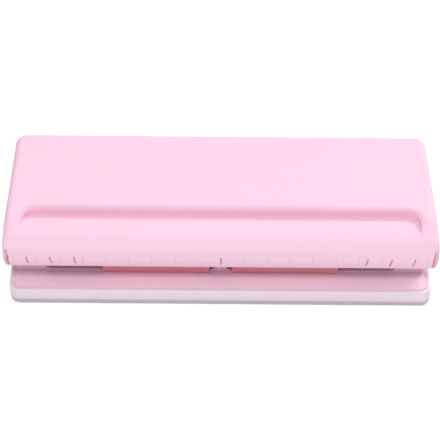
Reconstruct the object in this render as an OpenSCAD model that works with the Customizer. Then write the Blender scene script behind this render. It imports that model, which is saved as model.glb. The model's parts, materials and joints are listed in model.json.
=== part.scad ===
// Six-hole punch: a pressed lever over two sliding three-pin units, on a base with a chip tray.
// X runs along the lever, the front faces -Y, +Z is up. The origin is at the middle of the underside.

/* [Lever] */
// Width of the lever plate
lever_w = 190; // [186:1:220]
// Depth of the lever plate, from its nose to its rear edge
lever_d = 78; // [76:1:90]
// Height of the lever's top face above the table
lever_top_z = 36; // [35.5:0.5:42]
// Thickness of the lever's sheet
sheet_t = 1.4; // [1:0.1:1.6]
// Plan radius of the two rear corners
rear_corner_r = 5.5; // [5:0.5:12]
// Radius of the bend along the sides and the rear
bend_r = 3; // [2:0.25:4]
// Height of the lip and the skirts, from the top face to their lower edges
skirt_h = 16.3; // [13:0.1:17]
// Distance from the nose back to where the front begins to fall
front_run = 13.8; // [12:0.2:15]
// Fall of the front from the top face to the nose bend
front_fall = 2.4; // [2:0.1:3.5]
// Radius of the nose bend
nose_r = 5; // [3:0.25:5.5]
// Inward curl of the lip at its lower edge
lip_curl = 1.3; // [0.5:0.1:2]
// Width of the slits between the lip and the side skirts
slit_w = 0.8; // [0.5:0.1:1.2]
// Distance from the side of the lever to its slit
slit_inset = 2.1; // [2:0.1:3]

/* [Finger recess] */
// Length of the finger recess
recess_l = 174; // [140:1:176]
// Depth of the recess at its rear wall
recess_depth = 3.2; // [2.4:0.1:3.4]
// Distance from the lever's nose back to the foot of the recess's rear wall
recess_setback = 21.2; // [20:0.2:23]
// Distance from the rear wall of the recess to where its floor comes out
recess_run = 14; // [13:0.1:15]
// Run of the rounded edge over the recess's rear wall
recess_round = 5; // [3:0.5:6]
// Corner radius of the recess
recess_r = 5; // [3:0.5:7]

/* [Paper marks] */
// Half widths of the pages that have an engraved mark
mark_halves = [63.5, 74, 84.5];
// Width of a mark
mark_w = 0.6; // [0.4:0.1:1]
// Height of a mark
mark_h = 3.6; // [2:0.2:5]
// Depth of a mark
mark_depth = 0.4; // [0.2:0.1:0.6]
// Lean of the outer marks, whose tops point outward
mark_lean = 15; // [0:1:20]

/* [Base] */
// Width of the base cover
base_w = 181.5; // [178:0.5:185]
// Height of the sill under the windows, above the ledge
sill_h = 0.9; // [0.6:0.1:2]
// Height of the front ledge above the table
ledge_z = 9; // [8.5:0.25:10]
// Height of the paper plane above the table
paper_z = 13.5; // [13:0.25:14.5]
// Wall thickness of the base cover
cover_t = 1.5; // [1.2:0.1:1.8]
// Visible depth of the ledge in front of the punch units
ledge_d = 9.6; // [7:0.2:11]
// Distance from the lever's nose back to the punch units' faces
unit_setback = 9.6; // [9:0.2:10.4]
// Half width of the pedestal between the windows
pedestal_half = 2.2; // [1.8:0.1:4.5]
// Corner radius of the base cover in plan
base_corner_r = 2.5; // [2:0.25:5]
// Thickness of the chassis plate
chassis_t = 1.5; // [1:0.1:1.5]

/* [Chip tray] */
// Wall thickness of the chip tray
tray_t = 1.8; // [1:0.1:2.2]
// Gap between the tray and the base cover
tray_gap = 0.5; // [0.2:0.05:0.6]
// Thickness of the tray floor
tray_floor_t = 1.3; // [1:0.1:1.4]

/* [Punch units] */
// Width of a punch unit
unit_w = 47; // [42:0.25:50]
// Distance between neighbouring holes
hole_pitch = 19; // [18:0.1:19]
// Gap between a unit and the pedestal at its innermost place
unit_gap = 2.8; // [0.8:0.1:3.5]
// Thickness of the hook in front of the sill
hook_t = 1.2; // [1:0.1:1.6]
// Diameter of a punched hole
hole_d = 5.5; // [5:0.1:6]
// Distance from the hole centres to the paper stop
hole_margin = 5.8; // [5.5:0.1:6.5]
// Distance from a unit's face back to the hole centres
throat_d = 8; // [7.8:0.1:9]
// Sliding travel of a unit, outward from the smallest page to the largest
unit_travel = 25.5; // [20:0.5:26]
// Height of the paper slot
slot_h = 1.5; // [1.2:0.1:2]
// Thickness of the die plate
die_t = 1.5; // [1.2:0.1:2]
// Height of the pin guide
guide_h = 6.5; // [6:0.1:6.8]
// Depth of the spine behind the paper stop
spine_d = 10; // [9:0.5:11]
// Downward travel of the pins
punch_travel = 5.3; // [4.5:0.1:5.3]
// Thickness of the press cap
cap_t = 2; // [1.6:0.1:2.2]
// Width of the press cap, front to back
cap_d = 8; // [7:0.5:9]
// Wire diameter of a pin spring
wire_d = 0.6; // [0.5:0.05:0.7]
// Turns of a pin spring
spring_turns = 5; // [4:1:6]

/* [Rods and hinge] */
// Diameter of the rear guide rod
rear_rod_d = 3; // [2.5:0.1:3.2]
// Diameter of the hinge rod
hinge_d = 4; // [3:0.1:5]
// Distance from the lever's rear edge to the hinge
hinge_inset = 8.4; // [8:0.2:10]
// Height of the hinge above the table
hinge_z = 24; // [23:0.5:25]
// Thickness of the lever ears and the hinge brackets
plate_t = 2; // [1.5:0.1:2.2]

/* [Clearances] */
// Radial running clearance on rods and pins
run_gap = 0.08; // [0.05:0.01:0.1]
// Gap between a moving piece and its neighbour
side_gap = 0.3; // [0.25:0.05:0.4]
// Gap between the press bar and the caps at rest
press_gap = 0.3; // [0.25:0.05:0.4]

/* [Hidden] */
$fn = 48;
arc_steps = 8;
eps = 0.01;
over = 1;

// Depth places, front to rear
ledge_lead = ledge_d + tray_gap + tray_t - unit_setback;
rear_y = (lever_d + max(0, ledge_lead)) / 2;
nose_y = rear_y - lever_d;
unit_y = nose_y + unit_setback;
ledge_y = unit_y - ledge_d;
wall_y = unit_y + hook_t + side_gap;
block_y = wall_y + cover_t + side_gap;
pin_y = unit_y + throat_d;
stop_y = pin_y + hole_margin;
unit_rear_y = stop_y + spine_d;
fall_y = nose_y + front_run;
recess_wall_y = nose_y + recess_setback;
crease_y = recess_wall_y - recess_run;
hinge_y = rear_y - hinge_inset;
base_rear_inset = 2.5;
base_rear_y = rear_y - base_rear_inset;

// Heights, table upward
lip_z = lever_top_z - skirt_h;
under_z = lever_top_z - sheet_t;
crease_z = lever_top_z - (fall_y - crease_y) * front_fall / (front_run - nose_r);
cover_z = 3;
chassis_top_z = ledge_z - cover_t;
chassis_z = chassis_top_z - chassis_t;
die_z = paper_z - die_t;
sill_z = ledge_z + sill_h;
block_z = chassis_top_z + side_gap;
guide_z = paper_z + slot_h;
guide_top_z = guide_z + guide_h;
pocket_floor = 2.5;
pocket_z = guide_z + pocket_floor;
tip_rise = 0.5;
tip_z = guide_z + tip_rise;
cap_spare = 0.1;
cap_z = guide_top_z + side_gap + punch_travel + cap_spare;
cap_top_z = cap_z + cap_t;
bar_z = cap_top_z + press_gap;
rod_z = (block_z + die_z) / 2;

// Widths and radii
neck_inset = 1.6;
hook_rise = 0.3;
hook_step = 0.5;
hook_step_h = 1.7;
die_rim = 1;
curl_h = 4.5;
front_corner_r = 1.6;
window_r = 2.5;
pocket_gap = 1.25;
pocket_wall = 0.4;
spring_gap = 0.4;
pocket_r = hole_d / 2 + pocket_gap;
boss_r = pocket_r + pocket_wall;
unit_half = max(unit_w / 2, hole_pitch + boss_r);
unit_c = pedestal_half + unit_gap + unit_half;
win_x = unit_c + unit_half + unit_travel + side_gap;
rear_rod_inset = 3.6;
rear_rod_y = stop_y + rear_rod_inset;
spring_r = hole_d / 2 + spring_gap + wire_d / 2;
neck_r = 1.6;
eye_wall = 2.5;
ear_r = hinge_d / 2 + eye_wall;
bracket_inset = 9.75;
lever_inset = 14;
bracket_in_x = min(base_w / 2 - bracket_inset, lever_w / 2 - lever_inset);
ear_out_x = bracket_in_x - side_gap;
foot_inset = 2.25;
foot_w = base_w / 2 - foot_inset - bracket_in_x;
foot_t = 1.5;
block_end_wall = 0.6;
block_w = base_w / 2 - cover_t - win_x - 2 * side_gap;
rod_grip = block_w - block_end_wall;
bar_r = 2;
bar_end_gap = 3;
weld_gap = 0.05;
clip_t = 0.8;
clip_gap = 0.1;
rod_tail = 1;
rod_end_x = bracket_in_x + plate_t + clip_gap + clip_t + rod_tail;

// Base screws
screw_d = 2.6;
screw_head_d = 4.6;
screw_head_h = 1.6;
screw_inset = 4.55;
screw_edge = 2.6;
screw_x = base_w / 2 - screw_inset;
screw_pitch = 9;
bracket_front = 10;
bracket_rear = 4.5;

// Unit screws
unit_screw_d = 2.4;
unit_screw_head_d = 3.8;
unit_screw_head_h = 1.5;
unit_screw_half = 15;
unit_screw_inset = 2.4;
unit_screw_grip = 2;
unit_screw_y = unit_rear_y - unit_screw_inset;
unit_screw_top_z = guide_z + unit_screw_grip;
unit_screw_sink = 0.3;

pink = "pink";
deep_pink = "palevioletred";
steel = "silver";
sides = [-1, 1];

// Points of an arc about a centre, from one angle to another
function arc(cx, cy, r, a0, a1) =
    [for (i = [0:arc_steps]) let (a = a0 + (a1 - a0) * i / arc_steps) [cx + r * cos(a), cy + r * sin(a)]];

// Side outline of the lever, inset by t from its outer face
function lever_side(t, bottom) =
    let (
        fall_a = atan(front_fall / (front_run - nose_r)),
        nose_z = lever_top_z - front_fall - nose_r / cos(fall_a)
    )
    concat(
        [[rear_y - t, bottom]],
        arc(rear_y - bend_r, lever_top_z - bend_r, bend_r - t, 0, 90),
        [[fall_y + t * tan(fall_a / 2), lever_top_z - t]],
        arc(nose_y + nose_r, nose_z, nose_r - t, 90 + fall_a, 180),
        [[nose_y + t, lip_z + curl_h], [nose_y + lip_curl + t, lip_z], [nose_y + lip_curl + t, bottom]]
    );

// Front outline of the lever, inset by t
function lever_front(t, bottom) =
    let (half = lever_w / 2 - t, c = lever_w / 2 - bend_r)
    concat(
        [[-half, bottom], [half, bottom]],
        arc(c, lever_top_z - bend_r, bend_r - t, 0, 90),
        arc(-c, lever_top_z - bend_r, bend_r - t, 90, 180)
    );

// Height of the underside of the recess floor
function floor_under_z(y) =
    let (k = (y - crease_y) / (recess_run + sheet_t))
    (1 - k) * crease_z + k * (lever_top_z - recess_depth) - sheet_t;

// Extrudes a side outline (Y, Z) along X about the middle
module along_x(length) {
    rotate([90, 0, 90]) linear_extrude(length, center = true) children();
}

// A plan outline from y0 to y1 with front and rear corner radii
module plan(w, y0, y1, rf, rr) {
    translate([-w / 2, y0 + rf]) square([w, y1 - y0 - rf - rr]);
    translate([-w / 2 + rf, y0]) square([w - 2 * rf, rf + eps]);
    translate([-w / 2 + rr, y1 - rr - eps]) square([w - 2 * rr, rr + eps]);
    for (s = sides) {
        translate([s * (w / 2 - rf), y0 + rf]) circle(rf);
        translate([s * (w / 2 - rr), y1 - rr]) circle(rr);
    }
}

// The lever's pressed form, inset by t and open below
module lever_form(t, bottom) {
    intersection() {
        along_x(lever_w) polygon(lever_side(t, bottom));
        rotate([90, 0, 0]) linear_extrude(4 * lever_d, center = true) polygon(lever_front(t, bottom));
        translate([0, 0, bottom - over])
            linear_extrude(lever_top_z)
                plan(lever_w - 2 * t, nose_y, rear_y - t, max(0.2, front_corner_r - t), rear_corner_r - t);
    }
}

// The finger recess, grown by t for the sheet under it
module recess_form(t) {
    foot_z = lever_top_z - recess_depth - t;
    intersection() {
        along_x(recess_l + 2 * t) polygon([
            [crease_y, crease_z - t], [recess_wall_y + t, foot_z],
            [recess_wall_y + t + 0.2 * recess_round, foot_z + 0.5 * recess_depth],
            [recess_wall_y + t + 0.5 * recess_round, foot_z + 0.82 * recess_depth],
            [recess_wall_y + t + recess_round, foot_z + recess_depth],
            [recess_wall_y + t + recess_round, lever_top_z + over], [crease_y, lever_top_z + over]
        ]);
        linear_extrude(2 * lever_top_z)
            plan(recess_l + 2 * t, crease_y - over, recess_wall_y + recess_round + t, eps, recess_r + t);
    }
}

// An engraved page mark on the lip at x
module page_mark(x) {
    mark_rise = 1.3;
    lean = lip_curl / curl_h;
    low_y = nose_y + lip_curl - lean * mark_rise;
    high_y = low_y - lean * mark_h;
    translate([x, 0, lip_z + mark_rise + mark_h / 2]) rotate([0, sign(x) * mark_lean, 0]) along_x(mark_w)
        polygon([
            [low_y + mark_depth, -mark_h / 2], [high_y + mark_depth, mark_h / 2],
            [nose_y - over, mark_h / 2], [nose_y - over, -mark_h / 2]
        ]);
}

module lever_plate() {
    slit_top_drop = 2;
    slit_h = skirt_h - front_fall - slit_top_drop;
    color(pink) difference() {
        lever_form(0, lip_z);
        difference() {
            lever_form(sheet_t, lip_z - over);
            recess_form(sheet_t);
        }
        recess_form(0);
        for (s = sides) {
            translate([s * (lever_w / 2 - slit_inset) - slit_w / 2, nose_y - over, lip_z - over])
                cube([slit_w, nose_r + over, slit_h + over]);
            for (half = mark_halves) page_mark(s * half);
        }
        page_mark(0);
    }
}

// An ear under the lever, welded by its flange, with the hinge bore
module lever_ear(s) {
    ear_top_z = under_z - weld_gap;
    ear_front = 14;
    flange_w = 8;
    mirror([s < 0 ? 1 : 0, 0, 0]) color(steel) difference() {
        union() {
            translate([ear_out_x - plate_t, hinge_y, hinge_z]) rotate([0, 90, 0]) cylinder(r = ear_r, h = plate_t);
            translate([ear_out_x - plate_t, hinge_y - ear_front, hinge_z + ear_r / 2])
                cube([plate_t, ear_front + ear_r / 2, ear_top_z - hinge_z - ear_r / 2]);
            translate([ear_out_x - plate_t, hinge_y - ear_r, hinge_z]) cube([plate_t, 2 * ear_r, ear_r]);
            translate([ear_out_x - flange_w, hinge_y - ear_front, ear_top_z - plate_t])
                cube([flange_w, ear_front + ear_r / 2, plate_t]);
        }
        translate([ear_out_x - plate_t - over, hinge_y, hinge_z])
            rotate([0, 90, 0]) cylinder(d = hinge_d + 2 * run_gap, h = plate_t + 2 * over);
    }
}

module left_lever_ear() { lever_ear(-1); }

module right_lever_ear() { lever_ear(1); }

module press_bar() {
    bar_l = 2 * (ear_out_x - plate_t - bar_end_gap);
    front = pin_y - bar_r;
    rear = pin_y + bar_r;
    color(steel) along_x(bar_l) polygon(concat(
        arc(pin_y, bar_z + bar_r, bar_r, 180, 360),
        [[rear, floor_under_z(rear) - weld_gap], [front, floor_under_z(front) - weld_gap]]
    ));
}

// The outline of the two windows, seen from the front
module window_front() {
    x0 = pedestal_half;
    x1 = win_x;
    z1 = paper_z + over;
    for (s = sides) mirror([s < 0 ? 1 : 0, 0]) {
        translate([x0, sill_z + window_r]) square([x1 - x0, z1 - sill_z - window_r]);
        translate([x0 + window_r, sill_z]) square([x1 - x0 - 2 * window_r, window_r + eps]);
        for (x = [x0 + window_r, x1 - window_r]) translate([x, sill_z + window_r]) circle(window_r);
    }
}

// A slot along the units' way, cut through a plate between two depths and two heights
module unit_way(y0, y1, z0, z1) {
    for (s = sides) mirror([s < 0 ? 1 : 0, 0, 0])
        translate([pedestal_half, y0, z0]) cube([win_x - pedestal_half, y1 - y0, z1 - z0]);
}

// The four base screws' places
module screw_places() {
    for (s = sides, k = [0, 1])
        translate([s * screw_x, hinge_y - bracket_front + screw_edge + k * screw_pitch, 0]) children();
}

module base_cover() {
    inner_w = base_w - 2 * cover_t;
    inner_rear_y = base_rear_y - cover_t;
    inner_r = base_corner_r - cover_t;
    color(pink) difference() {
        union() {
            translate([0, 0, cover_z]) linear_extrude(ledge_z - cover_z)
                plan(base_w, ledge_y, base_rear_y, base_corner_r, base_corner_r);
            translate([0, 0, ledge_z - eps]) linear_extrude(paper_z - ledge_z + eps)
                plan(base_w, wall_y, base_rear_y, cover_t, base_corner_r);
        }
        translate([0, 0, cover_z - over]) linear_extrude(chassis_top_z - cover_z + over)
            plan(inner_w, ledge_y + cover_t, inner_rear_y, inner_r, inner_r);
        translate([0, 0, chassis_top_z - over]) linear_extrude(paper_z - cover_t - chassis_top_z + over)
            plan(inner_w, wall_y + cover_t, inner_rear_y, eps, inner_r);
        translate([0, wall_y + cover_t + eps, 0]) rotate([90, 0, 0])
            linear_extrude(cover_t + 2 * over) window_front();
        unit_way(wall_y + cover_t - eps, unit_rear_y + side_gap, paper_z - cover_t - over, paper_z + over);
        screw_places() cylinder(d = screw_d + 2 * run_gap, h = 2 * paper_z);
    }
}

module chassis_plate() {
    edge_gap = cover_t + side_gap;
    chip_way = hole_d + 3;
    color(steel) difference() {
        translate([0, 0, chassis_z]) linear_extrude(chassis_t)
            plan(base_w - 2 * edge_gap, ledge_y + edge_gap, base_rear_y - edge_gap,
                base_corner_r - cover_t, base_corner_r - cover_t);
        unit_way(pin_y - chip_way / 2, pin_y + chip_way / 2, chassis_z - over, chassis_top_z + over);
        screw_places() cylinder(d = screw_d + 2 * run_gap, h = 2 * paper_z);
    }
}

// A bracket that stands on the paper plane and holds the hinge rod
module hinge_bracket(s) {
    upright_h = hinge_z - paper_z;
    color(steel) difference() {
        mirror([s < 0 ? 1 : 0, 0, 0]) union() {
            translate([bracket_in_x, hinge_y, hinge_z]) rotate([0, 90, 0]) cylinder(r = ear_r, h = plate_t);
            translate([bracket_in_x, hinge_y - ear_r, paper_z]) cube([plate_t, 2 * ear_r, upright_h]);
            translate([bracket_in_x, hinge_y - bracket_front, paper_z])
                cube([foot_w, bracket_front + bracket_rear, foot_t]);
        }
        along_x(2 * base_w) translate([hinge_y, hinge_z]) circle(d = hinge_d + run_gap);
        screw_places() cylinder(d = screw_d + 2 * run_gap, h = 2 * paper_z);
    }
}

module left_hinge_bracket() { hinge_bracket(-1); }

module right_hinge_bracket() { hinge_bracket(1); }

module hinge_rod() {
    color(steel) translate([0, hinge_y, hinge_z]) rotate([0, 90, 0])
        cylinder(d = hinge_d, h = 2 * rod_end_x, center = true);
}

module hinge_clips() {
    clip_ring = 1.6;
    color("dimgray") for (s = sides)
        translate([s * (bracket_in_x + plate_t + clip_gap + clip_t / 2), hinge_y, hinge_z])
            rotate([0, 90, 0]) difference() {
                cylinder(d = hinge_d + 2 * clip_ring, h = clip_t, center = true);
                cylinder(d = hinge_d + run_gap, h = 2 * clip_t, center = true);
            }
}

module rear_guide_rod() {
    color(steel) translate([0, rear_rod_y, rod_z]) rotate([0, 90, 0])
        cylinder(d = rear_rod_d, h = 2 * (win_x + side_gap + rod_grip), center = true);
}

// A block on the chassis that holds an end of the rod
module rod_block(s) {
    rod_wall = 4;
    block_d = rear_rod_d + 2 * rod_wall;
    color("lightgray") difference() {
        translate([s * (win_x + side_gap + block_w / 2) - block_w / 2, rear_rod_y - block_d / 2, chassis_top_z])
            cube([block_w, block_d, paper_z - cover_t - chassis_top_z - weld_gap]);
        along_x(2 * (win_x + side_gap + rod_grip)) translate([rear_rod_y, rod_z]) circle(d = rear_rod_d + run_gap);
    }
}

module left_rod_block() { rod_block(-1); }

module right_rod_block() { rod_block(1); }

module base_screws() {
    head_z = paper_z + foot_t;
    slot_l = screw_head_d / 1.6;
    slot_t = 0.7;
    color(steel) screw_places() {
        translate([0, 0, chassis_z]) cylinder(d = screw_d, h = head_z - chassis_z + eps);
        difference() {
            translate([0, 0, head_z]) cylinder(d = screw_head_d, h = screw_head_h);
            translate([0, 0, head_z + screw_head_h]) cube([slot_l, slot_t, screw_head_h], center = true);
            translate([0, 0, head_z + screw_head_h]) cube([slot_t, slot_l, screw_head_h], center = true);
        }
    }
}

module chip_tray() {
    rim_drop = 0.4;
    tray_top_z = ledge_z - rim_drop;
    grow = tray_gap + tray_t;
    seat_w = 8;
    seat_d = 3;
    seat_gap = 0.1;
    color("white", 0.6) {
        difference() {
            linear_extrude(tray_top_z)
                plan(base_w + 2 * grow, ledge_y - grow, base_rear_y + grow,
                    base_corner_r + grow, base_corner_r + grow);
            translate([0, 0, tray_floor_t]) linear_extrude(tray_top_z)
                plan(base_w + 2 * tray_gap, ledge_y - tray_gap, base_rear_y + tray_gap,
                    base_corner_r + tray_gap, base_corner_r + tray_gap);
        }
        for (s = sides, y = [ledge_y - tray_gap - eps, base_rear_y + tray_gap - seat_d + eps])
            translate([s * base_w / 3 - seat_w / 2, y, tray_floor_t - eps])
                cube([seat_w, seat_d, cover_z - seat_gap - tray_floor_t]);
    }
}

// Places of a unit's three holes
module hole_places(s) {
    for (k = [-1:1]) translate([s * unit_c + k * hole_pitch, pin_y, 0]) children();
}

// The bosses round a unit's three holes, between two heights
module bosses(s, r, z0, z1) {
    hole_places(s) translate([0, 0, z0]) cylinder(r = r, h = z1 - z0);
}

// Places of a unit's two screws
module unit_screw_places(s) {
    for (k = sides) translate([s * unit_c + k * unit_screw_half, unit_screw_y, 0]) children();
}

// The lower half of a unit: die seat, hook over the sill, chip holes and rod bore
module die_block(s) {
    chip_gap = 0.4;
    neck_y = unit_y + hook_step;
    neck_z = sill_z + side_gap;
    hook_z = ledge_z + hook_rise;
    color(deep_pink) difference() {
        union() {
            bosses(s, boss_r, block_z, die_z);
            translate([s * unit_c, 0, 0]) union() {
                along_x(unit_w) polygon([
                    [block_y, block_z], [unit_rear_y, block_z], [unit_rear_y, die_z],
                    [block_y + die_rim, die_z], [block_y + die_rim, paper_z], [block_y, paper_z]
                ]);
                along_x(unit_w - 2 * neck_inset)
                    translate([neck_y, neck_z]) square([block_y - neck_y + eps, paper_z - neck_z]);
                along_x(unit_w) polygon([
                    [unit_y, hook_z + hook_step_h], [unit_y + hook_step, hook_z + hook_step_h],
                    [unit_y + hook_step, hook_z], [unit_y + hook_t, hook_z],
                    [unit_y + hook_t, paper_z], [unit_y, paper_z]
                ]);
            }
        }
        hole_places(s) cylinder(d = hole_d + 2 * chip_gap, h = 2 * paper_z);
        along_x(2 * base_w) translate([rear_rod_y, rod_z]) circle(d = rear_rod_d + 2 * run_gap);
        unit_screw_places(s) {
            cylinder(d = unit_screw_d + run_gap, h = 2 * paper_z);
            cylinder(d = unit_screw_head_d + 2 * run_gap, h = block_z + unit_screw_sink + unit_screw_head_h);
        }
    }
}

module die_plate(s) {
    front_y = block_y + die_rim + weld_gap;
    die_wall = 0.5;
    die_boss_r = hole_d / 2 + run_gap + die_wall;
    color(steel) difference() {
        union() {
            bosses(s, die_boss_r, die_z, paper_z);
            translate([s * unit_c - unit_w / 2, front_y, die_z]) cube([unit_w, stop_y - front_y, die_t]);
        }
        hole_places(s) cylinder(d = hole_d + 2 * run_gap, h = 2 * paper_z);
    }
}

module guide_block(s) {
    color(deep_pink) difference() {
        union() {
            bosses(s, boss_r, guide_z, guide_top_z);
            translate([s * unit_c, 0, 0]) along_x(unit_w) polygon([
                [unit_y, guide_z], [stop_y, guide_z], [stop_y, die_z], [unit_rear_y, die_z],
                [unit_rear_y, guide_top_z], [unit_y, guide_top_z]
            ]);
        }
        hole_places(s) {
            cylinder(d = hole_d + 2 * run_gap, h = 2 * guide_top_z);
            translate([0, 0, pocket_z]) cylinder(r = pocket_r, h = guide_h);
        }
        unit_screw_places(s) cylinder(d = unit_screw_d + run_gap, h = unit_screw_top_z + run_gap);
    }
}

module unit_screws(s) {
    head_z = block_z + unit_screw_sink;
    color(steel) unit_screw_places(s) {
        translate([0, 0, head_z]) cylinder(d = unit_screw_head_d, h = unit_screw_head_h);
        translate([0, 0, head_z]) cylinder(d = unit_screw_d, h = unit_screw_top_z - head_z);
    }
}

module press_cap(s) {
    cap_inset = 1;
    neck_wall = 1;
    cap_w = unit_w - 2 * cap_inset;
    color(steel) difference() {
        union() {
            bosses(s, neck_r + neck_wall, cap_z, cap_top_z);
            translate([s * unit_c - cap_w / 2, pin_y - cap_d / 2, cap_z]) cube([cap_w, cap_d, cap_t]);
        }
        hole_places(s) cylinder(r = neck_r + run_gap / 2, h = 2 * cap_top_z);
    }
}

module punch_pins(s) {
    notch_r = 1.5;
    color("gainsboro") hole_places(s) {
        difference() {
            translate([0, 0, tip_z]) cylinder(d = hole_d, h = cap_z - tip_z);
            translate([0, 0, tip_z]) rotate([90, 0, 0]) cylinder(r = notch_r, h = 2 * hole_d, center = true);
        }
        translate([0, 0, cap_z - eps]) cylinder(r = neck_r, h = cap_t);
    }
}

// A coil spring's wire, swept along its helix with rings of six sides
module coil(z0, z1) {
    ring_sides = 6;
    rings = 8 * spring_turns;
    wire_r = wire_d / 2;
    rise = (z1 - z0 - wire_d) / rings;
    slope = atan(rise / (2 * PI * spring_r / 8));
    points = [
        for (i = [0:rings], j = [0:ring_sides - 1])
            let (a = 360 * i / 8, f = 360 * j / ring_sides, r = spring_r + wire_r * cos(f))
            [
                r * cos(a) + wire_r * sin(f) * sin(slope) * sin(a),
                r * sin(a) - wire_r * sin(f) * sin(slope) * cos(a),
                z0 + wire_r + i * rise + wire_r * sin(f) * cos(slope)
            ]
    ];
    walls = [
        for (i = [0:rings - 1], j = [0:ring_sides - 1], half = [0, 1])
            let (
                a = i * ring_sides + j,
                b = i * ring_sides + (j + 1) % ring_sides,
                c = b + ring_sides,
                d = a + ring_sides
            )
            half == 0 ? [a, c, b] : [a, d, c]
    ];
    last = rings * ring_sides;
    caps = [
        for (j = [1:ring_sides - 2], half = [0, 1])
            half == 0 ? [0, j, j + 1] : [last, last + j + 1, last + j]
    ];
    polyhedron(points, concat(walls, caps));
}

module pin_springs(s) {
    color("gray") hole_places(s) coil(pocket_z + weld_gap, cap_z - weld_gap);
}

module left_die_block() { die_block(-1); }
module left_die_plate() { die_plate(-1); }
module left_guide_block() { guide_block(-1); }
module left_unit_screws() { unit_screws(-1); }
module left_press_cap() { press_cap(-1); }
module left_punch_pins() { punch_pins(-1); }
module left_pin_springs() { pin_springs(-1); }
module right_die_block() { die_block(1); }
module right_die_plate() { die_plate(1); }
module right_guide_block() { guide_block(1); }
module right_unit_screws() { unit_screws(1); }
module right_press_cap() { press_cap(1); }
module right_punch_pins() { punch_pins(1); }
module right_pin_springs() { pin_springs(1); }

lever_plate();
left_lever_ear();
right_lever_ear();
press_bar();
base_cover();
chassis_plate();
left_hinge_bracket();
right_hinge_bracket();
hinge_rod();
hinge_clips();
rear_guide_rod();
left_rod_block();
right_rod_block();
base_screws();
chip_tray();
left_die_block();
left_die_plate();
left_guide_block();
left_unit_screws();
left_press_cap();
left_punch_pins();
left_pin_springs();
right_die_block();
right_die_plate();
right_guide_block();
right_unit_screws();
right_press_cap();
right_punch_pins();
right_pin_springs();
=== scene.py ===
import json
import math

import bmesh
import bpy
from mathutils import Matrix, Vector


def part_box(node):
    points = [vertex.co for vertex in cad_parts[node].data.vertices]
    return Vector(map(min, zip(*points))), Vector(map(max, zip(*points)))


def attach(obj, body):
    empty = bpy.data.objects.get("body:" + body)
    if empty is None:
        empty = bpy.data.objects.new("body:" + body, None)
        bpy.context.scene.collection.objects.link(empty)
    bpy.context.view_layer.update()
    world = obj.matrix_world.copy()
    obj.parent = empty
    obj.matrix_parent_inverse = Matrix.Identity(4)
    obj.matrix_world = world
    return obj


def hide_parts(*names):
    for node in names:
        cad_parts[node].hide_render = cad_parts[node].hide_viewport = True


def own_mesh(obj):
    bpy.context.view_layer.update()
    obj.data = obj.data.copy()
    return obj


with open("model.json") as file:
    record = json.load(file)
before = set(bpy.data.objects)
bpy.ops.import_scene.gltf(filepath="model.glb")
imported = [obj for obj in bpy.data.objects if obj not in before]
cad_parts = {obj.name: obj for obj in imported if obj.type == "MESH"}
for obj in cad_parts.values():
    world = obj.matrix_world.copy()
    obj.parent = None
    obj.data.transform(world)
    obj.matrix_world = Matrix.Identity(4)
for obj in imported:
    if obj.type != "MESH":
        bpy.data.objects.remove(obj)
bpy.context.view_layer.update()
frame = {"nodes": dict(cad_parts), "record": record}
nodes = frame["nodes"]
MM = 0.001

# Places read from the frame
lever_lo, lever_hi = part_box("lever_plate")
tray_lo, tray_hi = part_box("chip_tray")
cover_lo, cover_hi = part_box("base_cover")
HALF = lever_hi.x
NOSE, REAR = lever_lo.y, lever_hi.y
LIP, TOP = lever_lo.z, lever_hi.z

# Lever sheet
SHEET = 1.4 * MM
SHEET_EDGE = 0.18 * MM
BEND, NOSE_BEND = 3.0 * MM, 5.0 * MM
BEND_STEPS = 12
REAR_CORNER, FRONT_CORNER = 5.5 * MM, 3.6 * MM
FALL_RUN, FALL_DROP = 13.8 * MM, 2.4 * MM
FALL_START = NOSE + FALL_RUN
FALL_SLOPE = FALL_DROP / (FALL_RUN - NOSE_BEND)
CURL, CURL_H, CURL_POWER = 1.3 * MM, 4.5 * MM, 1.4
LIP_LEVELS = [LIP + h * MM for h in (6.7, 6.25, 5.95, 4.9, 3.8, 2.8, 1.85, 1.55, 0.6, 0.0)]
SLIT_ANGLES = (13.0, 24.0)
SLIT_DROP = 6.6 * MM
CORNER_SQUARE = 0.8

# Flat top of the lever, inside its bends
INNER = HALF - BEND
FLAT_FRONT, FLAT_REAR = NOSE + NOSE_BEND, REAR - BEND
R_FRONT, R_REAR = FRONT_CORNER - BEND, REAR_CORNER - BEND

# Finger recess
FOOT = NOSE + 21.2 * MM
CREASE = FOOT - 14.0 * MM
RECESS_HALF = 87.0 * MM
RECESS_R = 6.0 * MM
RECESS_DEPTH = 3.8 * MM
RECESS_ROUND = 4.0 * MM
RECESS_FILLET = 3.0 * MM
CREST_RUN = 3.5 * MM
WALL_RUN = 0.4 * MM
WALL_MARGIN = 0.1 * MM
SHOULDER_SHARE, WALL_SHARE, FILLET_SHARE = 0.33, 0.60, 0.07
# Painted shade along the recess wall: its reach below and above the wall's foot, and its strength
PAINTED_SHADE_BELOW, PAINTED_SHADE_ABOVE, PAINTED_SHADE_STRENGTH = 2.4 * MM, 3.2 * MM, 0.8

# Engraved page marks
MARK_PLACES = [x * MM for x in (0.0, 63.5, 74.0, 84.1)]
PAGE_MARKS = MARK_PLACES + [-x for x in MARK_PLACES[1:]]
MARK_HALF = 0.3 * MM
MARK_DEPTH = 0.45 * MM
MARK_LOW, MARK_HIGH = LIP + 1.7 * MM, LIP + 6.1 * MM
MARK_MID = (MARK_LOW + MARK_HIGH) / 2
MARK_LEAN = math.tan(math.radians(11.0))
MARK_COLUMNS = [MARK_HALF * k for k in (-1.15, -0.8, 0.8, 1.15)]
LEAN_START, LEAN_FADE = MARK_HALF * 1.2, 2.0 * MM


def stations(places, steps):
    """Values from the first place up to the last, without it. Each stretch has its largest step in mm."""
    values = []
    for start, end, step in zip(places, places[1:], steps):
        count = max(1, math.ceil(abs(end - start) / (step * MM)))
        values += [start + (end - start) * i / count for i in range(count)]
    return values


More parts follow.
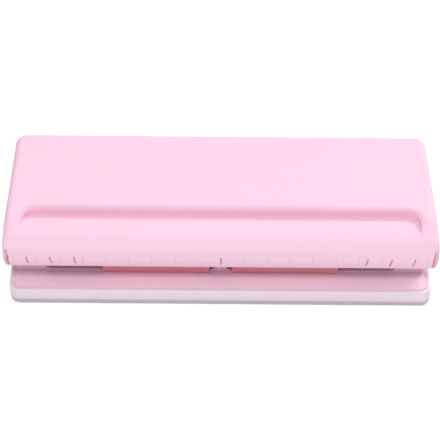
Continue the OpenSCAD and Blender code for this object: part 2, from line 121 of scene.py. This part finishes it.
def new_object(name, bm, smooth=True):
    """Makes an object of a bmesh, with clean outward normals."""
    bmesh.ops.recalc_face_normals(bm, faces=bm.faces)
    mesh = bpy.data.meshes.new(name)
    bm.to_mesh(mesh)
    bm.free()
    for face in mesh.polygons:
        face.use_smooth = smooth
    obj = bpy.data.objects.new(name, mesh)
    bpy.context.scene.collection.objects.link(obj)
    return obj


def add_modifier(obj, kind, **settings):
    """Adds a modifier with its settings."""
    mod = obj.modifiers.new(kind.lower(), kind)
    for key, value in settings.items():
        setattr(mod, key, value)


def unit_range(value):
    """A value kept between 0 and 1."""
    return min(1.0, max(0.0, value))


def plain_top(y):
    """Height of the lever's top face without its recess."""
    return TOP - max(0.0, FALL_START - y) * FALL_SLOPE


def recess_floor(y):
    """Height of the recess floor, which comes out at the crease."""
    k = (y - CREASE) / (FOOT - CREASE)
    return (1 - k) * plain_top(CREASE) + k * (TOP - RECESS_DEPTH)


def recess_outside(x, y):
    """Distance outside the foot of the recess wall, negative over the recess floor."""
    dx = abs(x) - (RECESS_HALF - RECESS_R)
    dy = y - (FOOT - RECESS_R)
    return math.hypot(max(dx, 0.0), max(dy, 0.0)) + min(max(dx, dy), 0.0) - RECESS_R


def wall_painted_shade(x, y):
    """Strength of the painted shade along the recess wall, from 0 to 1."""
    outside = recess_outside(x, y)
    if outside < 0:
        away = -outside / PAINTED_SHADE_BELOW
    else:
        away = max(0.0, outside - WALL_RUN) / PAINTED_SHADE_ABOVE
    return unit_range(1 - away) * unit_range((y - CREASE) / (FOOT - CREASE))


def top_height(x, y):
    """Height of the lever's top face with its recess."""
    plain = plain_top(y)
    depth = max(0.0, plain - recess_floor(min(y, FOOT))) if y > CREASE else 0.0
    turn = FALL_SLOPE + (plain_top(CREASE) - recess_floor(FOOT)) / (FOOT - CREASE)
    crest = turn * CREST_RUN / 4 * unit_range(1 - abs(y - CREASE) / CREST_RUN) ** 2
    outside = recess_outside(x, y)
    shoulder = unit_range(1 - outside / RECESS_ROUND) ** 2
    step = unit_range((WALL_RUN - outside) / WALL_RUN)
    wall = step * step * (3 - 2 * step)
    fillet = 1 - unit_range(1 + outside / RECESS_FILLET) ** 2 if outside < 0 else 0.0
    share = SHOULDER_SHARE * shoulder + WALL_SHARE * wall + FILLET_SHARE * fillet
    return plain - (depth + crest) * share


def lever_rows():
    """Depth stations of the flat top, close together where it bends."""
    front_angles = (0.0, *SLIT_ANGLES, 50.0, 70.0)
    rear_angles = (0, 9, 18, 27, 36, 45, 54, 63, 72, 90)
    crease_margin, recess_margin = 0.4 * MM, 0.5 * MM
    places = (
        FLAT_FRONT + R_FRONT,
        CREASE - crease_margin,
        FOOT - RECESS_R - recess_margin,
        FOOT - WALL_MARGIN,
        FOOT + WALL_RUN + WALL_MARGIN,
        FOOT + RECESS_ROUND + recess_margin,
        FLAT_REAR - R_REAR,
    )
    rows = [FLAT_FRONT + R_FRONT * (1 - math.cos(math.radians(a))) for a in front_angles]
    rows += stations(places, (1.0, 0.4, 0.2, 0.07, 0.4, 3.0))
    return rows + [FLAT_REAR - R_REAR + R_REAR * math.sin(math.radians(a)) for a in rear_angles]


def lever_columns():
    """Width stations of the flat top, close together at the recess ends and the marks."""
    end_margin = 1.0 * MM
    places = (
        0.0,
        RECESS_HALF - RECESS_R - end_margin,
        RECESS_HALF - WALL_MARGIN,
        RECESS_HALF + WALL_RUN + WALL_MARGIN,
        INNER,
    )
    half = stations(places, (3.0, 0.2, 0.07, 0.4)) + [INNER]
    squeeze = INNER / (INNER - R_FRONT)
    half += [abs(mark + d) * squeeze for mark in MARK_PLACES for d in MARK_COLUMNS]
    half = sorted(set(round(x, 7) for x in half))
    return [-x for x in reversed(half) if x > 0] + half


def inner_half_at(y):
    """Half width of the flat top at a depth, drawn in at the rounded corners."""
    front_c, rear_c = FLAT_FRONT + R_FRONT, FLAT_REAR - R_REAR
    if y > rear_c:
        return INNER - R_REAR + math.sqrt(max(0.0, R_REAR ** 2 - (y - rear_c) ** 2))
    if y < front_c:
        return INNER - R_FRONT + math.sqrt(max(0.0, R_FRONT ** 2 - (front_c - y) ** 2))
    return INNER


def outward(x, y, side):
    """Outward direction of the flat top's edge at a point on its left or right side."""
    if y > FLAT_REAR - R_REAR:
        centre = Vector((side * (INNER - R_REAR), FLAT_REAR - R_REAR))
    elif y < FLAT_FRONT + R_FRONT:
        centre = Vector((side * (INNER - R_FRONT), FLAT_FRONT + R_FRONT))
    else:
        return Vector((side, 0.0))
    return (Vector((x, y)) - centre).normalized()


def lever_ring(rows, columns):
    """The flat top's edge in order: row, column, outward direction and whether a slit starts there."""
    last_r, last_c = len(rows) - 1, len(columns) - 1
    ring = [(0, c, Vector((0, -1)), False) for c in range(1, last_c)]
    for side, column in ((1, last_c), (-1, 0)):
        part = []
        for r, y in enumerate(rows):
            x = side * inner_half_at(y)
            part.append((r, column, outward(x, y, side), r == 1))
        if side > 0:
            ring += part
            ring += [(last_r, c, Vector((0, 1)), False) for c in range(last_c - 1, 0, -1)]
        else:
            ring += [(r, c, n, r == 2) for r, c, n, _ in reversed(part)]
    return ring


def mark_shift(x, level):
    """Sideways lean of the lip's columns near an outer page mark, which fades out beside it."""
    for mark in PAGE_MARKS:
        fade = 1 - (abs(x - mark) - LEAN_START) / LEAN_FADE
        if mark and fade > 0:
            return math.copysign(MARK_LEAN, mark) * (level - MARK_MID) * min(1.0, fade)
    return 0.0


def skirt_points(inner, n):
    """Points down the skirt from the flat top's edge, around the bend and along the lip."""
    front = max(0.0, -n.y)
    faces_front = front > 0.999
    a0 = math.atan(FALL_SLOPE) * front
    bend = BEND + (NOSE_BEND - BEND) * front
    square = FRONT_CORNER * CORNER_SQUARE * (1 / max(abs(n.x), abs(n.y)) - 1) if front else 0.0
    points = []
    for i in range(1, BEND_STEPS + 1):
        a = a0 + (math.pi / 2 - a0) * i / BEND_STEPS
        reach = (math.sin(a) - math.sin(a0)) / (1 - math.sin(a0))
        drop = bend * (math.cos(a0) - math.cos(a))
        push = square * (i / BEND_STEPS) ** 2
        x = inner.x + n.x * (reach * BEND + push)
        y = inner.y + n.y * (reach * bend + push)
        points.append((x, y, inner.z - drop))
    for level in LIP_LEVELS:
        back = CURL * max(0.0, 1 - (level - LIP) / CURL_H) ** CURL_POWER * front
        lean = 0.0
        if faces_front and MARK_LOW < level < MARK_HIGH:
            lean = mark_shift(x, level)
            if any(abs(x - m) < MARK_HALF for m in PAGE_MARKS):
                back += MARK_DEPTH
        points.append((x + lean - n.x * back, y - n.y * back, level))
    return points


def build_lever():
    """The pressed lever sheet: top, finger recess, bends, skirts, lip, marks and corner slits."""
    rows, columns = lever_rows(), lever_columns()
    bm = bmesh.new()
    # Each vertex keeps how strongly shade is painted on it along the recess wall
    wall_shade = bm.verts.layers.float.new("wall_painted_shade")
    grid = []
    for y in rows:
        squeeze = inner_half_at(y) / INNER
        grid.append([bm.verts.new((x * squeeze, y, top_height(x * squeeze, y))) for x in columns])
        for vert in grid[-1]:
            vert[wall_shade] = wall_painted_shade(vert.co.x, vert.co.y)
    for r in range(len(rows) - 1):
        for c in range(len(columns) - 1):
            bm.faces.new((grid[r][c], grid[r][c + 1], grid[r + 1][c + 1], grid[r + 1][c]))
    ring = lever_ring(rows, columns)
    chains = []
    for r, c, n, _ in ring:
        start = grid[r][c]
        chains.append([start] + [bm.verts.new(p) for p in skirt_points(start.co, n)])
    for i, (_, _, _, slit) in enumerate(ring):
        a, b = chains[i], chains[(i + 1) % len(ring)]
        for k in range(len(a) - 1):
            if slit and a[0].co.z - a[k].co.z > SLIT_DROP:
                continue
            bm.faces.new((a[k], a[k + 1], b[k + 1], b[k]))
    lever = new_object("lever_sheet", bm)
    add_modifier(lever, "SOLIDIFY", thickness=SHEET, offset=-1.0, use_even_offset=False)
    add_modifier(lever, "BEVEL", width=SHEET_EDGE, segments=2, limit_method="ANGLE",
                 angle_limit=math.radians(60))
    lever.data.set_sharp_from_angle(angle=math.radians(50))
    return lever


def rounded_outline(half_x, y0, y1, r, steps=8):
    """Plan outline of a rounded rectangle, counter-clockwise, with its outward directions."""
    corners = (
        (half_x - r, y0 + r, -90),
        (half_x - r, y1 - r, 0),
        (-half_x + r, y1 - r, 90),
        (-half_x + r, y0 + r, 180),
    )
    out = []
    for cx, cy, a0 in corners:
        for i in range(steps + 1):
            a = math.radians(a0 + 90 * i / steps)
            n = Vector((math.cos(a), math.sin(a)))
            out.append((Vector((cx, cy)) + n * r, n))
    return out


def tray_seats(wall, floor_t):
    """The four seats inside the tray that the base cover stands on, as one object."""
    width, depth, gap, bury = 8.0 * MM, 3.0 * MM, 0.1 * MM, 0.4 * MM
    edge_r = 0.25 * MM
    low, high = floor_t - bury, cover_lo.z - gap
    bm = bmesh.new()
    for x in (cover_lo.x * 2 / 3, cover_hi.x * 2 / 3):
        for y in (tray_lo.y + wall + depth / 2, tray_hi.y - wall - depth / 2):
            verts = bmesh.ops.create_cube(bm, size=1.0)["verts"]
            bmesh.ops.scale(bm, vec=(width, depth, high - low), verts=verts)
            bmesh.ops.translate(bm, vec=(x, y, (low + high) / 2), verts=verts)
    bmesh.ops.bevel(bm, geom=bm.edges[:], offset=edge_r, segments=2, profile=0.5, affect="EDGES")
    return new_object("tray_seats", bm)


def join_solid(obj, other):
    """Joins another closed object to this one and takes the other away."""
    add_modifier(obj, "BOOLEAN", operation="UNION", solver="EXACT", object=other)
    shaped = obj.evaluated_get(bpy.context.evaluated_depsgraph_get())
    whole = bpy.data.meshes.new_from_object(shaped)
    obj.modifiers.clear()
    obj.data = whole
    bpy.data.objects.remove(other)


def tray_profile(wall, floor_t):
    """Inset and height of the tray's section, from its foot over its rim to its floor."""
    foot_r, draft = 2.5 * MM, 0.2 * MM
    rim_w, rim_r, rim_edge = 2.2 * MM, 0.45 * MM, 0.2 * MM
    rim_h, under_h = 1.0 * MM, 1.5 * MM
    height = tray_hi.z
    profile = []
    for i in range(7):
        a = math.radians(15 * i)
        profile.append((draft + foot_r * (1 - math.sin(a)), foot_r * (1 - math.cos(a))))
    profile += [(draft * 0.4, height * 0.6), (0.0, height - rim_r)]
    for i in range(1, 4):
        a = math.radians(30 * i)
        profile.append((rim_r - rim_r * math.cos(a), height - rim_r + rim_r * math.sin(a)))
    profile += [(rim_w - rim_edge, height), (rim_w, height - rim_edge), (rim_w, height - rim_h)]
    profile += [(wall, height - under_h)]
    inside = wall + draft
    for inset, rise in ((0.0, 1.2), (0.4, 0.3), (1.2, 0.0)):
        profile.append((inside + inset * MM, floor_t + rise * MM))
    return profile


def build_tray():
    """The chip tray: a frosted shell with a rounded foot, a drafted wall, a rounded rim and seats."""
    wall, floor_t, corner = 1.7 * MM, 1.3 * MM, 4.8 * MM
    outline = rounded_outline(tray_hi.x, tray_lo.y, tray_hi.y, corner)
    bm = bmesh.new()
    loops = []
    for inset, z in tray_profile(wall, floor_t):
        loops.append([bm.verts.new((p.x - n.x * inset, p.y - n.y * inset, z)) for p, n in outline])
    count = len(outline)
    for a, b in zip(loops, loops[1:]):
        for i in range(count):
            j = (i + 1) % count
            bm.faces.new((a[i], a[j], b[j], b[i]))
    bm.faces.new(list(reversed(loops[0])))
    bm.faces.new(loops[-1])
    tray = new_object("tray_shell", bm)
    join_solid(tray, tray_seats(wall, floor_t))
    tray.data.set_sharp_from_angle(angle=math.radians(50))
    return tray


def tree_math(tree, operation, *values):
    """The result of a math node fed by numbers or sockets."""
    node = tree.nodes.new("ShaderNodeMath")
    node.operation = operation
    for i, value in enumerate(values):
        if isinstance(value, (int, float)):
            node.inputs[i].default_value = value
        else:
            tree.links.new(value, node.inputs[i])
    return node.outputs[0]


def map_range(tree, source, **limits):
    """A socket's value mapped from one range to another."""
    node = tree.nodes.new("ShaderNodeMapRange")
    for key, value in limits.items():
        node.inputs[key.replace("_", " ")].default_value = value
    tree.links.new(source, node.inputs["Value"])
    return node.outputs["Result"]


class Shader:
    """A small helper that lays out one node material."""

    def __init__(self, name):
        self.material = bpy.data.materials.new(name)
        self.material.use_nodes = True
        self.tree = self.material.node_tree
        self.bsdf = self.tree.nodes["Principled BSDF"]
        self.coords = self.add("ShaderNodeTexCoord").outputs["Object"]

    def add(self, kind, **settings):
        node = self.tree.nodes.new(kind)
        for key, value in settings.items():
            setattr(node, key, value)
        return node

    def link(self, source, target):
        self.tree.links.new(source, target)

    def feed(self, key, source):
        self.link(source, self.bsdf.inputs[key])

    def set(self, **values):
        for key, value in values.items():
            self.bsdf.inputs[key.replace("_", " ")].default_value = value

    def math(self, operation, *values):
        return tree_math(self.tree, operation, *values)

    def axes(self):
        split = self.add("ShaderNodeSeparateXYZ")
        self.link(self.coords, split.inputs[0])
        return split.outputs

    def noise(self, scale, detail=3.0, roughness=0.5, stretch=None):
        node = self.add("ShaderNodeTexNoise")
        node.inputs["Scale"].default_value = scale
        node.inputs["Detail"].default_value = detail
        node.inputs["Roughness"].default_value = roughness
        source = self.coords
        if stretch:
            mapping = self.add("ShaderNodeMapping")
            mapping.inputs["Scale"].default_value = stretch
            self.link(source, mapping.inputs["Vector"])
            source = mapping.outputs["Vector"]
        self.link(source, node.inputs["Vector"])
        return node.outputs["Fac"]

    def mix(self, factor, a, b):
        node = self.add("ShaderNodeMix", data_type="RGBA")
        self.link(factor, node.inputs["Factor"])
        for socket, value in ((node.inputs["A"], a), (node.inputs["B"], b)):
            if isinstance(value, tuple):
                socket.default_value = value
            else:
                self.link(value, socket)
        return node.outputs["Result"]

    def spread(self, source, low, high):
        return map_range(self.tree, source, To_Min=low, To_Max=high)

    def bump(self, height, strength, distance):
        node = self.add("ShaderNodeBump")
        node.inputs["Strength"].default_value = strength
        node.inputs["Distance"].default_value = distance
        self.link(height, node.inputs["Height"])
        self.feed("Normal", node.outputs["Normal"])


def srgb(r, g, b):
    """A colour given as 0 to 255 screen values, in the renderer's linear values."""
    def channel(v):
        v = v / 255
        return v / 12.92 if v <= 0.04045 else ((v + 0.055) / 1.055) ** 2.4
    return (channel(r), channel(g), channel(b), 1.0)


def shade(colour, factor):
    """A colour made a little darker or lighter."""
    return tuple(c * factor for c in colour[:3]) + (1.0,)


def lip_band(s, low, high):
    """The lip's front between two heights: the places along x, y and z, and a mask."""
    places = s.axes()
    mask = s.math("LESS_THAN", places[1], NOSE + 2.4 * MM)
    mask = s.math("MULTIPLY", mask, s.math("GREATER_THAN", places[2], low))
    mask = s.math("MULTIPLY", mask, s.math("LESS_THAN", places[2], high))
    return places, mask


def scale_marks(s):
    """The faint centimetre marks in print along the lip, as a mask."""
    pitch, half_line, reach, faint = 10.0 * MM, 0.2 * MM, 91.0 * MM, 0.3
    places, mask = lip_band(s, LIP + 2.6 * MM, LIP + 6.4 * MM)
    phase = s.math("WRAP", places[0], pitch / 2, -pitch / 2)
    mask = s.math("MULTIPLY", mask, s.math("LESS_THAN", s.math("ABSOLUTE", phase), half_line))
    mask = s.math("MULTIPLY", mask, s.math("LESS_THAN", s.math("ABSOLUTE", places[0]), reach))
    return s.math("MULTIPLY", mask, faint)


def page_mark_shade(s):
    """Painted shade inside the engraved page marks, as a mask."""
    places, mask = lip_band(s, MARK_LOW, MARK_HIGH)
    lean = s.math("MULTIPLY", s.math("SUBTRACT", places[2], MARK_MID), MARK_LEAN)
    outer = s.math("SUBTRACT", s.math("ABSOLUTE", places[0]), lean)
    near = None
    for mark in MARK_PLACES:
        away = s.math("ABSOLUTE", s.math("SUBTRACT", outer if mark else places[0], mark))
        hit = s.math("LESS_THAN", away, MARK_HALF)
        near = hit if near is None else s.math("MAXIMUM", near, hit)
    return s.math("MULTIPLY", mask, near)


def slit_painted_shade(s):
    """Painted shade on the cut edges inside the corner slits, as a mask."""
    margin = 0.8
    places, mask = lip_band(s, LIP, TOP - SLIT_DROP)
    out = s.math("SUBTRACT", s.math("ABSOLUTE", places[0]), INNER - R_FRONT)
    ahead = s.math("SUBTRACT", FLAT_FRONT + R_FRONT, places[1])
    low = math.tan(math.radians(SLIT_ANGLES[0] - margin))
    high = math.tan(math.radians(SLIT_ANGLES[1] + margin))
    mask = s.math("MULTIPLY", mask, s.math("GREATER_THAN", out, s.math("MULTIPLY", ahead, low)))
    return s.math("MULTIPLY", mask, s.math("LESS_THAN", out, s.math("MULTIPLY", ahead, high)))


def enamel(name, colour, roughness, printed_and_painted_shade=False):
    """Sprayed enamel with a faint orange-peel surface; on the lever also print and painted shade."""
    s = Shader(name)
    s.set(Specular_IOR_Level=0.12)
    paint = s.mix(s.noise(60, 4), shade(colour, 0.985), shade(colour, 1.015))
    # On the lever: printed scale marks, and painted shade on the recess wall, slit edges and page marks
    if printed_and_painted_shade:
        wall_shade = s.add("ShaderNodeAttribute", attribute_name="wall_painted_shade").outputs["Fac"]
        # Painted shade: a deeper pink along the recess wall
        paint = s.mix(s.math("MULTIPLY", wall_shade, PAINTED_SHADE_STRENGTH), paint, srgb(238, 184, 208))
        paint = s.mix(scale_marks(s), paint, srgb(196, 170, 186))
        # Painted shade: a darker pink inside the engraved page marks
        paint = s.mix(page_mark_shade(s), paint, srgb(211, 162, 177))
        # Painted shade: a darker pink on the edges inside the corner slits
        paint = s.mix(slit_painted_shade(s), paint, srgb(220, 172, 186))
    s.feed("Base Color", paint)
    s.feed("Roughness", s.spread(s.noise(350, 2), roughness - 0.04, roughness + 0.04))
    s.bump(s.noise(900, 2), 0.05, 0.1 * MM)
    return s.material


def moulded(name, colour, roughness):
    """Moulded plastic with a fine satin grain."""
    s = Shader(name)
    s.set(Specular_IOR_Level=0.4)
    s.feed("Base Color", s.mix(s.noise(45, 3), shade(colour, 0.98), shade(colour, 1.02)))
    s.feed("Roughness", s.spread(s.noise(420, 2), roughness - 0.05, roughness + 0.05))
    s.bump(s.noise(1600, 2), 0.06, 0.08 * MM)
    return s.material


def steel(name, colour, roughness, stretch):
    """Steel with fine drawn or ground lines along one axis."""
    s = Shader(name)
    s.set(Metallic=1.0)
    lines = s.noise(700, 3, 0.6, stretch)
    s.feed("Base Color", s.mix(lines, shade(colour, 0.88), shade(colour, 1.05)))
    s.feed("Roughness", s.spread(lines, roughness - 0.07, roughness + 0.07))
    s.bump(lines, 0.08, 0.05 * MM)
    return s.material


def frosted(name):
    """Frosted clear plastic, with painted shade on its foot: greyer towards the bottom."""
    foot_shade_h, foot_shade_fade = 4.2 * MM, 1.4 * MM
    s = Shader(name)
    s.set(Alpha=0.88, IOR=1.46, Specular_IOR_Level=0.5)
    cloud = s.mix(s.noise(30, 3), srgb(251, 233, 243), srgb(255, 239, 248))
    below = s.math("SUBTRACT", tray_lo.z + foot_shade_h, s.axes()[2])
    foot = s.math("MINIMUM", s.math("MAXIMUM", s.math("DIVIDE", below, foot_shade_fade), 0.0), 1.0)
    # Painted shade: grey over the tray's lowest band
    s.feed("Base Color", s.mix(foot, cloud, srgb(206, 196, 203)))
    s.feed("Roughness", s.spread(s.noise(500, 2), 0.34, 0.46))
    s.bump(s.noise(1400, 2), 0.1, 0.1 * MM)
    return s.material


ALONG_X, ALONG_Z = (0.04, 1.0, 1.0), (1.0, 1.0, 0.04)
FINISH = {
    "lever_paint": enamel("pink_enamel", srgb(255, 214, 235), 0.7, printed_and_painted_shade=True),
    "cover_pink": moulded("pink_moulding", srgb(255, 218, 236), 0.5),
    "unit_paint": enamel("deep_pink_enamel", srgb(244, 163, 174), 0.4),
    "plated_steel": steel("zinc_plate", srgb(196, 198, 200), 0.34, ALONG_X),
    "bright_steel": steel("bright_steel", srgb(214, 214, 216), 0.18, ALONG_X),
    "spring_steel": steel("spring_wire", srgb(150, 150, 152), 0.3, ALONG_Z),
    "screw_steel": steel("screw_plate", srgb(170, 171, 173), 0.32, ALONG_Z),
    "block_plastic": moulded("deep_pink_acetal", srgb(205, 130, 144), 0.4),
    "frosted_plastic": frosted("frosted_plastic"),
}


def finish_piece(obj, slot):
    """Gives an object the finish of a record slot."""
    obj.data.materials.clear()
    obj.data.materials.append(FINISH[slot])


def dress_frame():
    """Gives every carried-over node its finish, and the pink ones softly broken edges."""
    for row in frame["record"]["subparts"]:
        obj = nodes[row["node"]]
        for slot in obj.material_slots:
            slot.material = FINISH[row["material_slot"]]
        if row["material_slot"] in ("cover_pink", "unit_paint"):
            add_modifier(obj, "BEVEL", width=0.35 * MM, segments=3, limit_method="ANGLE",
                         angle_limit=math.radians(50))


def seat_springs():
    """Gives each side's pin springs a mesh of their own."""
    for side in ("left", "right"):
        name = side + "_pin_springs"
        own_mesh(nodes[name])


def add_camera():
    """The photograph's view: a long lens, a little above the lever, with a slight roll."""
    frame_px, focal_px, sensor_mm = 440.0, 1700.0, 36.0
    target = Vector((-0.4, -10.26, 25.0)) * MM
    elevation, heading, roll = (math.radians(a) for a in (38.6, 0.652, 0.889))
    distance = 759.2 * MM
    flat = Vector((math.sin(heading), math.cos(heading), 0.0))
    ahead = flat * math.cos(elevation) - Vector((0.0, 0.0, math.sin(elevation)))
    right = Vector((math.cos(heading), -math.sin(heading), 0.0))
    up = right.cross(ahead)
    side = right * math.cos(roll) + up * math.sin(roll)
    over = up * math.cos(roll) - right * math.sin(roll)
    data = bpy.data.cameras.new("camera")
    data.sensor_width = sensor_mm
    data.lens = focal_px / frame_px * sensor_mm
    camera = bpy.data.objects.new("camera", data)
    turn = Matrix((side, over, -ahead)).transposed().to_4x4()
    camera.matrix_world = Matrix.Translation(target - ahead * distance) @ turn
    bpy.context.scene.collection.objects.link(camera)
    bpy.context.scene.camera = camera


def add_lamp(name, place, size, power):
    """A soft square lamp at a place, aimed at the middle of the floor."""
    data = bpy.data.lights.new(name, "AREA")
    data.shape = "SQUARE"
    data.size = size
    data.energy = power
    lamp = bpy.data.objects.new(name, data)
    lamp.location = place
    lamp.rotation_euler = (-Vector(place)).to_track_quat("-Z", "Y").to_euler()
    bpy.context.scene.collection.objects.link(lamp)


def seen_directly(tree):
    """A factor that is 1 for rays the viewer sees: straight, mirrored or through clear pieces."""
    path = tree.nodes.new("ShaderNodeLightPath").outputs
    seen = tree_math(tree, "MAXIMUM", path["Is Camera Ray"], path["Is Glossy Ray"])
    return tree_math(tree, "MAXIMUM", seen, path["Is Transmission Ray"])


def outside_footprint(s):
    """A factor that is 0 on the floor under the tray and 1 around it."""
    margin = 2.0 * MM
    places = s.axes()
    beside = s.math("GREATER_THAN", s.math("ABSOLUTE", places[0]), tray_hi.x - margin)
    before = s.math("GREATER_THAN", s.math("ABSOLUTE", places[1]), tray_hi.y - margin)
    return s.math("MAXIMUM", beside, before)


def add_surround():
    """A white surround that lights the scene softly."""
    ambient, seen = 0.36, 1.0
    world = bpy.data.worlds.new("surround")
    world.use_nodes = True
    bpy.context.scene.world = world
    tree = world.node_tree
    ground = tree.nodes["Background"]
    ground.inputs["Color"].default_value = (1.0, 1.0, 1.0, 1.0)
    strength = map_range(tree, seen_directly(tree), To_Min=ambient, To_Max=seen)
    tree.links.new(strength, ground.inputs["Strength"])


def add_floor():
    """A white floor that keeps the object's shadow."""
    half_size = 4.0
    bm = bmesh.new()
    bmesh.ops.create_grid(bm, x_segments=1, y_segments=1, size=half_size)
    floor = new_object("floor", bm, smooth=False)
    s = Shader("white_floor")
    s.set(Base_Color=(0.9, 0.9, 0.9, 1.0), Roughness=0.9, Emission_Color=(1.0, 1.0, 1.0, 1.0))
    away = s.add("ShaderNodeVectorMath", operation="LENGTH")
    s.link(s.coords, away.inputs[0])
    glow = map_range(s.tree, away.outputs["Value"], From_Min=0.5, From_Max=2.0, To_Min=0.42, To_Max=0.74)
    lit = s.math("MULTIPLY", seen_directly(s.tree), outside_footprint(s))
    s.feed("Emission Strength", s.math("MULTIPLY", lit, glow))
    floor.data.materials.append(s.material)


add_camera()
lever = build_lever()
finish_piece(lever, "lever_paint")
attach(lever, "lever")
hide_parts("lever_plate")
tray = build_tray()
finish_piece(tray, "frosted_plastic")
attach(tray, "tray")
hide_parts("chip_tray")
dress_frame()
seat_springs()
add_surround()
add_floor()
add_lamp("key", place=(0.65, 0.9, 0.62), size=0.5, power=8.4)
add_lamp("front_fill", place=(-0.1, -0.66, 0.98), size=0.4, power=7.1)
bpy.context.scene.view_settings.view_transform = "Standard"
